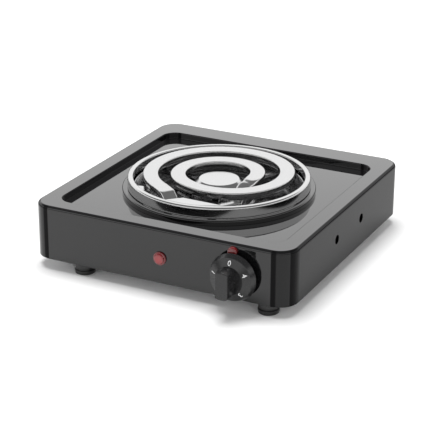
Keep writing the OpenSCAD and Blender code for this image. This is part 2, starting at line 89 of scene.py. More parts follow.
# ---------------------------------------------------------------- settings
class HousingSettings(bpy.types.PropertyGroup):
    corner: FloatProperty(name="Corner radius", description="Radius of the body's upright corners",
                          default=18 * MM, unit="LENGTH")
    edge: FloatProperty(name="Edge radius", description="Radius of the fold along the top edge",
                        default=3 * MM, unit="LENGTH")
    recess_width: FloatProperty(name="Recess width", description="Width of the sunk field",
                                default=216 * MM, unit="LENGTH")
    recess_depth: FloatProperty(name="Recess depth", description="Depth of the sunk field",
                                default=208 * MM, unit="LENGTH")
    recess_corner: FloatProperty(name="Recess corner", description="Corner radius of the sunk field",
                                 default=13 * MM, unit="LENGTH")
    recess_shift: FloatProperty(name="Recess shift", description="How far the sunk field lies forward",
                                default=5 * MM, unit="LENGTH")
    vent_radius: FloatProperty(name="Vent radius", description="Radius of the side vents",
                               default=4.2 * MM, unit="LENGTH")
    colour: FloatVectorProperty(name="Enamel", description="Colour of the body's enamel",
                                default=(0.005, 0.005, 0.0053), subtype="COLOR")


class BurnerSettings(bpy.types.PropertyGroup):
    tube_width: FloatProperty(name="Tube width", description="Width of the heating tube",
                              default=13.9 * MM, unit="LENGTH")
    tube_height: FloatProperty(name="Tube height", description="Height of the heating tube",
                               default=8.5 * MM, unit="LENGTH")
    inner_radius: FloatProperty(name="Inner turn", description="Radius of the tube's inner turn",
                                default=37 * MM, unit="LENGTH")
    outer_radius: FloatProperty(name="Outer turn", description="Radius of the tube's outer turn",
                                default=65 * MM, unit="LENGTH")
    ring_inside: FloatProperty(name="Ring inside", description="Inner radius of the trim ring",
                               default=77.5 * MM, unit="LENGTH")
    seat_inside: FloatProperty(name="Seat inside", description="Inner radius of the black seat",
                               default=77 * MM, unit="LENGTH")
    arm_width: FloatProperty(name="Arm width", description="Width of a support arm",
                             default=9 * MM, unit="LENGTH")
    plating: FloatVectorProperty(name="Plating", description="Colour of the bright plating",
                                 default=(0.50, 0.50, 0.50), subtype="COLOR")
    bowl: FloatVectorProperty(name="Bowl", description="Colour of the plated sheet under the tube",
                              default=(0.33, 0.33, 0.335), subtype="COLOR")


class KnobSettings(bpy.types.PropertyGroup):
    grip_width: FloatProperty(name="Grip width", description="Width of the knob's grip",
                              default=11.3 * MM, unit="LENGTH")
    digit_height: FloatProperty(name="Digit size", description="Size of the dial's figures",
                                default=6.2 * MM, unit="LENGTH")
    figures: IntProperty(name="Figures", description="Number of figures on the dial", default=5)
    colour: FloatVectorProperty(name="Plastic", description="Colour of the knob",
                                default=(0.009, 0.009, 0.0095), subtype="COLOR")
    lens: FloatVectorProperty(name="Lens", description="Colour of the two lamp lenses",
                              default=(0.30, 0.012, 0.016), subtype="COLOR")


class StudioSettings(bpy.types.PropertyGroup):
    turn: FloatProperty(name="Turn", description="How far to the right of the front the camera stands",
                        default=math.radians(26.479), subtype="ANGLE")
    lift: FloatProperty(name="Lift", description="How far above the horizon the camera stands",
                        default=math.radians(22.347), subtype="ANGLE")
    roll: FloatProperty(name="Roll", description="The camera's tilt about its own axis",
                        default=math.radians(0.318), subtype="ANGLE")
    distance: FloatProperty(name="Distance", description="From the camera to the point it looks at",
                            default=1.43924, unit="LENGTH")
    focal: FloatProperty(name="Focal length", description="Focal length in mm on a 36 mm sensor",
                         default=124.78)
    band: FloatProperty(name="Band", description="Brightness of the low band of the studio's walls",
                        default=1.5)
    ceiling: FloatProperty(name="Ceiling", description="Brightness of the upper walls", default=0.25)
    softbox: FloatProperty(name="Softbox", description="Power of the softbox overhead in watts",
                           default=27)


# ---------------------------------------------------------------- shapes
def rounded(corners, closed=True, hold=0.15 * MM):
    """Outline through corners (x, y, radius). Each corner is an arc that touches both its sides, and
    a point close to each arc's end keeps the straight stretch's shading flat."""
    corners = [np.array(c, float) for c in corners]
    count = len(corners)
    out = []
    for i, corner in enumerate(corners):
        point, radius = corner[:2], corner[2]
        if radius <= 0 or (not closed and i in (0, count - 1)):
            out.append(point[None])
            continue
        before, after = corners[i - 1][:2] - point, corners[(i + 1) % count][:2] - point
        before, after = before / np.linalg.norm(before), after / np.linalg.norm(after)
        half = math.acos(np.clip(before @ after, -1, 1)) / 2
        reach = radius / math.tan(half)
        middle = before + after
        centre = point + middle / np.linalg.norm(middle) * radius / math.sin(half)
        start, end = point + before * reach - centre, point + after * reach - centre
        turn = math.atan2(start[0] * end[1] - start[1] * end[0], start @ end)
        angle = math.atan2(start[1], start[0]) + turn * np.linspace(0, 1, 2 + int(abs(turn) * 5))
        arc = centre + radius * np.stack([np.cos(angle), np.sin(angle)], 1)
        out += [(arc[0] + before * hold)[None], arc, (arc[-1] + after * hold)[None]]
    return np.concatenate(out)


def grid_faces(rows, cols, wrap_rows=False, wrap_cols=True):
    """Quads of a grid, as row and column numbers that run on past the seam."""
    row = np.arange(rows if wrap_rows else rows - 1)
    col = np.arange(cols if wrap_cols else cols - 1)
    row, col = (a.ravel() for a in np.meshgrid(row, col, indexing="ij"))
    return np.stack([row, row, row + 1, row + 1], 1), np.stack([col, col + 1, col + 1, col], 1)


def lengths(points, wrap):
    """Distance run along a line of points, with one more entry where it closes."""
    ahead = np.roll(points, -1, 0) if wrap else points[1:]
    step = np.linalg.norm(ahead - points[:len(ahead)], axis=1)
    return np.concatenate([[0], np.cumsum(step)])


def skin(name, grid, wrap_rows=False, wrap_cols=True, drop=None, tidy=True):
    """Mesh object over a grid of points: each cell is a quad, and its UV is the distance run along
    the widest row and the middle column, in metres. drop marks cells that are left open."""
    rows, cols = grid.shape[:2]
    row, col = grid_faces(rows, cols, wrap_rows, wrap_cols)
    if drop is not None:
        keep = ~drop(row[:, 0], col[:, 0])
        row, col = row[keep], col[keep]
    faces = (row % rows) * cols + col % cols
    mesh = bpy.data.meshes.new(name)
    mesh.from_pydata(grid.reshape(-1, 3).tolist(), [], faces.tolist())
    widest = int(np.argmax(np.linalg.norm(grid - grid.mean((0, 1)), axis=2).sum(1)))
    along = lengths(grid[widest], wrap_cols)
    across = lengths(grid[:, cols // 3], wrap_rows)
    uv = np.stack([along[np.minimum(col, len(along) - 1)], across[np.minimum(row, len(across) - 1)]], -1)
    layer = mesh.uv_layers.new(name="surface")
    layer.data.foreach_set("uv", uv.astype(np.float32).ravel())
    return finish_mesh(name, mesh, tidy)


def finish_mesh(name, mesh, tidy=True, sharp=40):
    """Joins coincident points, turns a closed skin outwards and shades it smooth up to an angle."""
    if tidy:
        work = bmesh.new()
        work.from_mesh(mesh)
        bmesh.ops.remove_doubles(work, verts=work.verts, dist=1e-6)
        bmesh.ops.dissolve_degenerate(work, edges=work.edges, dist=1e-7)
        bmesh.ops.recalc_face_normals(work, faces=work.faces)
        work.to_mesh(mesh)
        work.free()
    mesh.shade_smooth()
    mesh.set_sharp_from_angle(angle=math.radians(sharp))
    piece = bpy.data.objects.new(name, mesh)
    bpy.context.scene.collection.objects.link(piece)
    return piece


def standing(points, origin):
    """Puts local points, z up, at an origin."""
    return points + np.array(origin)


def facing_front(points, origin):
    """Turns local points so that their z runs out of the front panel and their y runs up."""
    return np.stack([points[..., 0], -points[..., 2], points[..., 1]], -1) + np.array(origin)


def facing_rear(points, origin):
    """Turns local points so that their z runs out of the rear wall and their y runs up."""
    return np.stack([-points[..., 0], points[..., 2], points[..., 1]], -1) + np.array(origin)


def lathe(name, outline, origin, place=standing, count=128, closed=True, drop=None, tidy=True):
    """A profile (radius, height) carried round an axis: x and y are the radius times the cosine and
    sine of the turn angle, z is the height."""
    angle = np.linspace(0, 2 * math.pi, count, endpoint=False)
    radius, height = outline[:, :1], outline[:, 1:]
    grid = np.stack([radius * np.cos(angle), radius * np.sin(angle), height + 0 * angle], -1)
    return skin(name, place(grid, origin), wrap_rows=closed, drop=drop, tidy=tidy)


def plate(name, outline, low, high, place=standing, origin=(0, 0, 0), bevel=0.25 * MM, segments=2):
    """A flat outline (x, y) given a thickness from low to high, with its edges rounded over."""
    count = len(outline)
    layers = [np.column_stack([outline, np.full(count, z)]) for z in (low, high)]
    points = place(np.concatenate(layers), origin)
    here = np.arange(count)
    ahead = (here + 1) % count
    sides = np.stack([here, ahead, ahead + count, here + count], 1).tolist()
    mesh = bpy.data.meshes.new(name)
    mesh.from_pydata(points.tolist(), [], sides + [here[::-1].tolist(), (here + count).tolist()])
    piece = finish_mesh(name, mesh)
    edge = piece.modifiers.new("edge", "BEVEL")
    edge.width, edge.segments, edge.limit_method = bevel, segments, "ANGLE"
    edge.angle_limit = math.radians(40)
    edge.harden_normals = True
    return piece


def thicken(piece, depth):
    """Gives a sheet its thickness on the side away from its faces, and keeps its cut edges crisp."""
    mesh = piece.data
    uses = np.zeros(len(mesh.edges), int)
    edge_of = np.zeros(len(mesh.loops), int)
    mesh.loops.foreach_get("edge_index", edge_of)
    np.add.at(uses, edge_of, 1)
    sharp = mesh.attributes.get("sharp_edge") or mesh.attributes.new("sharp_edge", "BOOLEAN", "EDGE")
    marks = np.zeros(len(mesh.edges), bool)
    sharp.data.foreach_get("value", marks)
    sharp.data.foreach_set("value", marks | (uses == 1))
    wall = piece.modifiers.new("sheet", "SOLIDIFY")
    wall.thickness, wall.offset, wall.use_even_offset = depth, -1, True
    wall.use_quality_normals = True
    return piece


def settle(piece, material, body, slot, *nodes):
    """Gives a piece its finish and its body, and hides the CAD nodes it stands for."""
    piece.data.materials.append(material)
    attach(piece, body)
    if nodes:
        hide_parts(*nodes)
    return piece


# ---------------------------------------------------------------- shader maths
class Term:
    """A shader value. An expression on terms and numbers adds its Math nodes."""

    def __init__(self, shader, socket):
        self.shader, self.socket = shader, socket

    def __add__(self, other):
        return self.shader.math("ADD", self, other)

    def __sub__(self, other):
        return self.shader.math("SUBTRACT", self, other)

    def __rsub__(self, other):
        return self.shader.math("SUBTRACT", other, self)

    def __mul__(self, other):
        return self.shader.math("MULTIPLY", self, other)

    def __truediv__(self, other):
        return self.shader.math("DIVIDE", self, other)

    def __pow__(self, other):
        return self.shader.math("POWER", self, other)

    __radd__ = __add__
    __rmul__ = __mul__

    def over(self, low, high):
        """0 below low, 1 above high, and smooth between them."""
        values = {"Value": self, "From Min": low, "From Max": high}
        return self.shader.node("ShaderNodeMapRange", {"interpolation_type": "SMOOTHSTEP"}, values)


class Shader:
    """A material's node tree with its Principled surface."""

    def __init__(self, name):
        self.material = bpy.data.materials.new(name)
        self.material.use_nodes = True
        self.tree = self.material.node_tree
        self.surface = self.tree.nodes["Principled BSDF"]

    def put(self, socket, value):
        if isinstance(value, Term):
            self.tree.links.new(value.socket, socket)
        elif isinstance(value, (tuple, list)) and len(value) == 3 and socket.type == "RGBA":
            socket.default_value = (*value, 1)
        else:
            socket.default_value = value

    def node(self, kind, settings=None, values=None, output=0):
        made = self.tree.nodes.new(kind)
        for key, value in (settings or {}).items():
            setattr(made, key, value)
        for key, value in (values or {}).items():
            self.put(made.inputs[key], value)
        return Term(self, made.outputs[output])

    def math(self, operation, first, second):
        return self.node("ShaderNodeMath", {"operation": operation}, {0: first, 1: second})

    def mix(self, share, first, second):
        """A colour between two colours."""
        return self.node("ShaderNodeMix", {"data_type": "RGBA"}, {0: share, 6: first, 7: second}, 2)

    def place(self, scale=(1, 1, 1), uv=False):
        """Object coordinates, or the piece's own UV in metres, stretched by scale."""
        source = self.node("ShaderNodeTexCoord", output="UV" if uv else "Object")
        return self.node("ShaderNodeMapping", None, {"Vector": source, "Scale": scale})

    def noise(self, place, scale, detail=2.0, rough=0.5):
        values = {"Vector": place, "Scale": scale, "Detail": detail, "Roughness": rough}
        return self.node("ShaderNodeTexNoise", None, values)

    def cells(self, place, scale, output="Distance"):
        return self.node("ShaderNodeTexVoronoi", None, {"Vector": place, "Scale": scale}, output)

    def bump(self, height, strength, distance):
        values = {"Height": height, "Strength": strength, "Distance": distance}
        return self.node("ShaderNodeBump", None, values)

    def paint(self, **values):
        """Sets the surface's sockets: base_color for Base Color, and so on."""
        for key, value in values.items():
            self.put(self.surface.inputs[key.replace("_", " ").title().replace("Ior", "IOR")], value)
        return self.material


# ---------------------------------------------------------------- finishes
def shade(colour, factor):
    """A colour with each channel multiplied by one factor."""
    return tuple(c * factor for c in colour)


def enamel(name, colour, gloss, walls=False):
    """Stove enamel: a hard gloss with the faint ripple of a sprayed coat and pinpoint flecks. With
    walls, it paints shade: its coat weight is cut along the upright corners and on the walls to the
    left and right, so these faces look darker."""
    s = Shader(name)
    clear = 1.0
    if walls:
        facing = s.node("ShaderNodeNewGeometry", output="Normal")
        x, y, z = (s.math("ABSOLUTE", s.node("ShaderNodeSeparateXYZ", None, {0: facing}, k), 0)
                   for k in range(3))
        turn = s.math("ARCTAN2", x, y) / (math.pi / 2)
        upright = (1 - z).over(0.0005, 0.02)
        # painted shade: on upright faces the coat weight is cut by their facing. Nearly all of it goes from
        # mid-corner round onto the left and right walls and in a band near each corner's front end, and
        # about half goes between, so these faces look darker
        painted_side_shade = (turn.over(0.01, 0.04) - turn.over(0.14, 0.19) * 0.45
                + turn.over(0.58, 0.61) * 0.45 - turn.over(0.66, 0.95) * 0.10)
        clear = 1 - painted_side_shade * upright
    where = s.place()
    ripple = s.noise(where, 260, 1.5)
    cloud = s.noise(where, 14, 3)
    fleck = 1 - s.cells(where, 900).over(0.03, 0.12)
    tint = s.mix(cloud, shade(colour, 0.92), shade(colour, 1.1))
    colour_out = s.mix(fleck * 0.2, tint, shade(colour, 2))
    rough = gloss + cloud * 0.03 + fleck * 0.05
    return s.paint(base_color=colour_out, roughness=rough, ior=1.14, coat_weight=clear,
                   coat_roughness=gloss, coat_ior=1.5, normal=s.bump(ripple, 0.02, 0.0003))


def turned_plating(name, colour, gloss, grain=1.0):
    """Bright plating over turned sheet: fine rings that follow the surface, and a soft cloud."""
    s = Shader(name)
    rings = s.noise(s.place((25, 2600, 1), uv=True), 1, 3, 0.6)
    cloud = s.noise(s.place(), 30, 2)
    colour_out = s.mix(cloud * 0.6 + rings * 0.4, shade(colour, 0.93), shade(colour, 1.05))
    rough = gloss + rings * (0.10 * grain) + cloud * 0.05
    return s.paint(base_color=colour_out, metallic=1.0, roughness=rough,
                   normal=s.bump(rings, 0.10 * grain, 0.00012))


def sooted_plating(name, colour):
    """Plated sheet under the burner: drawn streaks, straw-coloured heat tint and baked-on film."""
    s = Shader(name)
    streak = s.noise(s.place((60, 900, 1), uv=True), 1, 4, 0.65)
    film = s.noise(s.place(), 45, 4, 0.6)
    stain = film.over(0.45, 0.75)
    tint = s.mix(streak.over(0.3, 0.7), shade(colour, 0.55), shade(colour, 1.15))
    straw = s.mix(stain * 0.2, tint, (colour[0] * 0.75, colour[1] * 0.70, colour[2] * 0.62))
    return s.paint(base_color=straw, metallic=1.0, roughness=0.12 + streak * 0.16 + stain * 0.12,
                   normal=s.bump(streak, 0.18, 0.0003))


def galvanised(name, colour):
    """Zinc plate: flat crystals of slightly different greys with a dull sheen."""
    s = Shader(name)
    crystal = s.cells(s.place(), 160, "Color")
    grain = s.noise(s.place(), 700, 2)
    tint = s.mix(s.node("ShaderNodeRGBToBW", None, {0: crystal}), shade(colour, 0.82), shade(colour, 1.1))
    return s.paint(base_color=tint, metallic=1.0, roughness=0.3 + grain * 0.15,
                   normal=s.bump(grain, 0.08, 0.0001))


def stamped_brass(name, colour):
    """Stamped brass: warm metal with fine tarnish."""
    s = Shader(name)
    tarnish = s.noise(s.place(), 220, 3).over(0.4, 0.75)
    tint = s.mix(tarnish, colour, shade(colour, 0.6))
    return s.paint(base_color=tint, metallic=1.0, roughness=0.22 + tarnish * 0.25)


def fired_clay(name, colour):
    """Unglazed steatite: chalky, with a fine dark speck."""
    s = Shader(name)
    grain = s.noise(s.place(), 900, 3)
    speck = 1 - s.cells(s.place(), 500).over(0.05, 0.16)
    tint = s.mix(speck * 0.5, s.mix(grain, shade(colour, 0.9), colour), shade(colour, 0.45))
    return s.paint(base_color=tint, roughness=0.7 + grain * 0.15, normal=s.bump(grain, 0.2, 0.0002))


def moulded(name, colour, gloss, grain=0.12, scale=1600):
    """Moulded plastic or rubber: fine spark-eroded grain and a soft cloud in the gloss."""
    s = Shader(name)
    texture = s.noise(s.place(), scale, 2, 0.6)
    cloud = s.noise(s.place(), 60, 2)
    tint = s.mix(cloud, shade(colour, 0.85), shade(colour, 1.2))
    return s.paint(base_color=tint, roughness=gloss + texture * 0.08 + cloud * 0.06,
                   normal=s.bump(texture, grain, 0.0001))


def lens_glass(name, colour, centre):
    """Clear red plastic with painted shade: deeper red towards its rim, where it is looked through
    edgeways.
    """
    s = Shader(name)
    where = s.node("ShaderNodeVectorMath", {"operation": "DISTANCE"}, {0: s.place(), 1: tuple(centre)}, 1)
    # painted shade: the red deepens from 1.5 mm to 6 mm away from the pilot lens's centre
    deep = where.over(1.5 * MM, 6 * MM)
    ribs = s.node("ShaderNodeMath", {"operation": "SINE"}, {0: where * (2 * math.pi / (0.9 * MM))})
    tint = s.mix(deep, colour, shade(colour, 0.42))
    return s.paint(base_color=tint, roughness=0.16 + ribs * 0.03, coat_weight=0.6, coat_roughness=0.06,
                   normal=s.bump(ribs, 0.12, 0.0002))


def sleeve(name, colour, second=None):
    """Silicone wire sleeve, with a spiral second colour where it has one."""
    s = Shader(name)
    grain = s.noise(s.place(), 600, 2)
    base = s.mix(grain, shade(colour, 0.85), colour)
    if second:
        stripe = s.node("ShaderNodeTexWave", {"bands_direction": "DIAGONAL"},
                        {"Vector": s.place(), "Scale": 90.0})
        base = s.mix(stripe.over(0.45, 0.55), base, second)
    return s.paint(base_color=base, roughness=0.4 + grain * 0.15)


def printed(name, colour):
    """Printed figures: dense matt ink with slight pinholes."""
    s = Shader(name)
    ink = s.noise(s.place(), 1500, 2)
    return s.paint(base_color=s.mix(ink, shade(colour, 0.9), colour), roughness=0.45 + ink * 0.1)


def seamless_paper(name):
    """Studio floor: matt white paper with a barely visible tooth."""
    s = Shader(name)
    tooth = s.noise(s.place(), 30, 3)
    return s.paint(base_color=s.mix(tooth, (0.90, 0.90, 0.90), (0.93, 0.93, 0.93)), roughness=0.9)


def finishes():
    """Every finish by its slot, made once."""
    if "made" in finishes.__dict__:
        return finishes.made
    scene = bpy.context.scene
    burner, knob = scene.hot_plate_burner, scene.hot_plate_knob
    bright = tuple(burner.plating)
    finishes.made = {
        "grey_enamel": enamel("grey enamel with painted side shade", tuple(scene.hot_plate_housing.colour), 0.03, True),
        "black_enamel": enamel("black enamel", (0.004, 0.004, 0.004), 0.03),
        "chrome_sheet": sooted_plating("chrome sheet", tuple(burner.bowl)),
        "bright_trim": turned_plating("bright trim", bright, 0.08, 0.5),
        "heater_tube": turned_plating("heater tube", shade(bright, 1.06), 0.14, 1.0),
        "zinc_sheet": galvanised("zinc sheet", (0.55, 0.55, 0.56)),
        "ceramic": fired_clay("ceramic", (0.72, 0.69, 0.60)),
        "brass_parts": stamped_brass("brass parts", (0.70, 0.50, 0.22)),
        "black_plastic": moulded("black plastic", tuple(knob.colour), 0.20),
        "red_lens": lens_glass("red lens", tuple(knob.lens), span("pilot_lens")[0]),
        "white_plastic": moulded("white plastic", (0.75, 0.75, 0.72), 0.42),
        "foot_rubber": moulded("foot rubber", (0.010, 0.010, 0.010), 0.24, 0.2, 900),
        "gland_rubber": moulded("gland rubber", (0.012, 0.012, 0.012), 0.40, 0.25, 900),
        "wire_brown": sleeve("wire brown", (0.12, 0.045, 0.02)),
        "wire_blue": sleeve("wire blue", (0.03, 0.10, 0.32)),
        "wire_green": sleeve("wire green", (0.10, 0.32, 0.04), (0.75, 0.62, 0.04)),
    }
    return finishes.made


# ---------------------------------------------------------------- housing
def smooth(u):
    """The cubic ease 3u^2 - 2u^3, with u held between 0 and 1."""
    u = np.clip(u, 0, 1)
    return u * u * (3 - 2 * u)


def side_marks(places, reach, half):
    """Grid lines along one side, as shares of its straight reach: its ends, and both sides of each
    hole."""
    marks = [-reach, -reach + 1 * MM, reach - 1 * MM, reach]
    marks += [place + side * half for place in places for side in (-1, 1)]
    return np.array(sorted(marks)) / reach


def loop(half_x, half_y, radius, marks, arc=12):
    """A rounded rectangle, anticlockwise from its right side: straight marks, then a quarter circle
    about each corner's centre."""
    reach_x, reach_y = half_x - radius, half_y - radius
    turn = np.linspace(0, math.pi / 2, arc + 2)[1:-1]
    right, back, left, front = marks
    parts = []
    sides = [(right, half_x, reach_y, 0), (back, half_y, reach_x, 1),
             (left, half_x, reach_y, 2), (front, half_y, reach_x, 3)]
    for share, out, reach, quarter in sides:
        line = np.stack([np.full(len(share), out), share * reach], 1)
        corner = np.array([out - radius, reach]) + radius * np.stack([np.cos(turn), np.sin(turn)], 1)
        c, s = [(1, 0), (0, 1), (-1, 0), (0, -1)][quarter]
        both = np.concatenate([line, corner])
        parts.append(np.stack([both[:, 0] * c - both[:, 1] * s, both[:, 0] * s + both[:, 1] * c], 1))
    return np.concatenate(parts)


def housing_grid(settings, marks):
    """Rows of the pressed body, from the flange under its lower edge, up the wall, over the rim,
    down into the recess and in to the burner hole. Each row is a rounded rectangle."""
    half_x, half_y = BODY_HALF[0], BODY_HALF[1]
    corner, edge = settings.corner, settings.edge
    hold = 0.2 * MM
    outer = rounded([(-5.5 * MM, LOW_Z, 0), (0, LOW_Z, 1.0 * MM), (0, RIM_Z, edge), (-9 * MM, RIM_Z, 0)],
                    closed=False, hold=hold)
    wall = np.array([[0, z] for z in WALL_ROWS])
    split = int(np.argmax(outer[:, 1] > LOW_Z + 10 * MM))
    outer = np.concatenate([outer[:split], wall, outer[split:]])
    rows = []
    for out, z in outer:
        flat = loop(half_x + out, half_y + out, max(corner + out, 3 * MM), marks)
        rows.append(np.column_stack([flat + BODY_MID[:2], np.full(len(flat), z)]))
    inner = rounded([(2.5 * MM, RIM_Z, 0), (0, RIM_Z, 1.1 * MM), (0, FIELD_Z, 0.9 * MM),
                     (-3 * MM, FIELD_Z, 0)], closed=False, hold=hold)
    middle = BODY_MID[:2] - (0, settings.recess_shift)
    for out, z in inner:
        flat = loop(settings.recess_width / 2 + out, settings.recess_depth / 2 + out,
                    settings.recess_corner + out, marks)
        rows.append(np.column_stack([flat + middle, np.full(len(flat), z)]))
    ray = rows[-1][:, :2] - BURNER
    ray /= np.linalg.norm(ray, axis=1)[:, None]
    for radius, z in ((HOLE_RADIUS + 6 * MM, FIELD_Z), (HOLE_RADIUS, FIELD_Z)):
        rows.append(np.column_stack([BURNER + ray * radius, np.full(len(ray), z)]))
    return np.array(rows)


WALL_ROWS = [LOW_Z + 15 * MM, LOW_Z + 38 * MM]
HOLE_RADIUS = 80 * MM
HOLE_STEPS = 48


class Hole:
    """A round hole through a wall's flat cell."""

    def __init__(self, side, along, height, radius):
        self.side, self.along, self.height, self.radius = side, along, height, radius


def pierce(mesh_points, faces, holes):
    """Replaces the wall cell that holds each hole by a fan between the cell's corners and the hole's
    circle: each stretch of the circle is joined to the corner of its own quarter."""
    points = [mesh_points]
    start = len(mesh_points)
    gone = np.zeros(len(faces), bool)
    corners = mesh_points[faces]
    low, high = corners.min(1), corners.max(1)
    fans = []
    for hole in holes:
        axis, sign = {"right": (0, 1), "left": (0, -1), "front": (1, -1), "back": (1, 1)}[hole.side]
        run = 1 - axis
        wall = BODY_MID[axis] + sign * BODY_HALF[axis]
        inside = (np.abs(low[:, axis] - wall) < 1e-6) & (np.abs(high[:, axis] - wall) < 1e-6)
        inside &= (low[:, run] < hole.along) & (high[:, run] > hole.along)
        inside &= (low[:, 2] < hole.height) & (high[:, 2] > hole.height)
        cell = int(np.nonzero(inside)[0][0])
        gone[cell] = True
        quad = faces[cell]
        turn = np.linspace(0, 2 * math.pi, HOLE_STEPS, endpoint=False)
        circle = np.zeros((HOLE_STEPS, 3))
        circle[:, axis] = wall
        circle[:, run] = hole.along + hole.radius * np.cos(turn)
        circle[:, 2] = hole.height + hole.radius * np.sin(turn)
        centre = circle.mean(0)
        rim = circle - centre
        rays = mesh_points[quad] - centre
        nearest = np.argmax(rim @ (rays / np.linalg.norm(rays, axis=1)[:, None]).T, 1)
        around = np.arange(HOLE_STEPS)
        ahead = (around + 1) % HOLE_STEPS
        tri = np.stack([quad[nearest], start + around, start + ahead], 1)
        change = np.nonzero(nearest != nearest[ahead])[0]
        link = np.stack([quad[nearest[change]], quad[nearest[ahead[change]]], start + ahead[change]], 1)
        new = np.concatenate([tri, link])
        everything = np.concatenate([*points, circle])
        a, b, c = (everything[new[:, k]] for k in range(3))
        normal = np.cross(b - a, c - a)[:, axis] * sign
        new[normal < 0] = new[normal < 0][:, ::-1]
        fans.append(new)
        points.append(circle)
        start += HOLE_STEPS
    kept = faces[~gone].tolist() + np.concatenate(fans).tolist()
    return np.concatenate(points), kept


def build_housing(settings):
    """The pressed body: its rows of rounded rectangles joined, pierced, and given the sheet's wall."""
    pilot = span("pilot_lens")[0]
    gland = span("cord_gland")[0]
    half = 9 * MM
    reach_x, reach_y = BODY_HALF[0] - settings.corner, BODY_HALF[1] - settings.corner
    vents = np.array([-28.3, 27.3]) * MM
    marks = (side_marks(vents, reach_y, half), side_marks([-gland[0]], reach_x, half),
             side_marks(-vents, reach_y, half),
             side_marks([pilot[0], KNOB_MID[0]], reach_x, half))
    grid = housing_grid(settings, marks)
    rows, cols = grid.shape[:2]
    row, col = grid_faces(rows, cols)
    faces = (row % rows) * cols + col % cols
    vent_z = LOW_Z + 26.9 * MM
    holes = [Hole(side, y, vent_z, settings.vent_radius) for side in ("right", "left")
             for y in vents + BODY_MID[1]]
    holes += [Hole("front", pilot[0], pilot[2], 5 * MM), Hole("front", KNOB_MID[0], KNOB_MID[2], 5 * MM),
              Hole("back", gland[0], gland[2], 6.5 * MM)]
    points, faces = pierce(grid.reshape(-1, 3), faces, holes)
    mesh = bpy.data.meshes.new("housing_shell")
    mesh.from_pydata(points.tolist(), [], faces)
    piece = finish_mesh("housing_shell", mesh, tidy=False)
    return thicken(piece, SHEET)


# ---------------------------------------------------------------- burner
def build_seat(settings):
    """The black collar: a stepped wall section turned about the burner."""
    low, high = FIELD_Z, SEAT_MID[2] + SEAT_HALF[2]
    out, inside = SEAT_HALF[0], settings.seat_inside
    outline = rounded([(out, low, 0.2 * MM), (out, high, 1.5 * MM), (inside, high, 0.2 * MM),
                       (inside, high - 1 * MM, 0.2 * MM), (out - 1 * MM, high - 1 * MM, 0.5 * MM),
                       (out - 1 * MM, low, 0.2 * MM)], hold=0.1 * MM)
    return lathe("seat_ring", outline, (*BURNER, 0), count=160)


def build_pan():
    """The drip pan: a bowl section turned about the burner, with a notch for the tube ends."""
    out, top = PAN_HALF[0], PAN_MID[2] + PAN_HALF[2]
    floor = PAN_MID[2] - PAN_HALF[2] + 0.6 * MM
    outline = rounded([(out, top, 0), (76.8 * MM, top, 1.2 * MM), (64 * MM, floor, 7 * MM),
                       (34 * MM, floor, 2 * MM), (32 * MM, floor + 1.2 * MM, 2 * MM),
                       (24 * MM, floor + 1.2 * MM, 2 * MM), (22 * MM, floor, 2 * MM), (2.3 * MM, floor, 0)],
                      closed=False)
    count = 180
    step = 360 / count
    notch_rows = np.nonzero((outline[:, 0] > 58 * MM) & (outline[:, 0] < 76.9 * MM))[0]

    def notch(row, col):
        angle = col * step
        return (row >= notch_rows[0]) & (row < notch_rows[-1]) & (angle >= 248) & (angle < 284)

    piece = lathe("pan_bowl", outline, (*BURNER, 0), count=count, closed=False, drop=notch, tidy=False)
    return thicken(piece, 0.6 * MM)


def build_ring(settings):
    """The trim ring: a hooked section turned about the burner."""
    out, inside, top = RING_HALF[0], settings.ring_inside, RING_TOP
    foot = RING_MID[2] - RING_HALF[2]
    wall = 0.8 * MM
    outline = rounded([(out, foot, 0.3 * MM), (out, top, 1.7 * MM), (inside, top, 0.9 * MM),
                       (inside, top - 6.2 * MM, 0.3 * MM), (inside + wall, top - 6.2 * MM, 0.3 * MM),
                       (inside + wall, top - wall, 0.3 * MM), (out - wall, top - wall, 0.8 * MM),
                       (out - wall, foot, 0.3 * MM)], hold=0.12 * MM)
    return lathe("ring_trim", outline, (*BURNER, 0), count=192)


def build_tab(settings):
    """The chord-shaped tab inside the ring: a straight edge, a slanted left end, and an arc that
    follows the ring."""
    radius = settings.ring_inside + 0.4 * MM
    first, last = math.radians(260.2), math.radians(302.5)
    arc = np.linspace(first, last, 40)
    curve = radius * np.stack([np.cos(arc), np.sin(arc)], 1)
    edge = np.array([[40.5, -66.9], [-2, -66]]) * MM
    return plate("ring_tab", np.concatenate([curve, edge]) + BURNER, RING_TOP - 0.8 * MM,
                 RING_TOP - 0.02 * MM, bevel=0.2 * MM)


def coil_radius(angle, settings):
    """Radius of the tube's centre line at a turn angle in degrees: it swells from its inner end,
    steps from the inner to the outer turn, and draws in at its outer end."""
    low, high = settings.inner_radius, settings.outer_radius
    return (low - 6.3 * MM * (1 - smooth((angle + 30) / 100))
            + (high - low) * smooth((angle - 240) / 190) - 4.5 * MM * smooth((angle - 470) / 150))


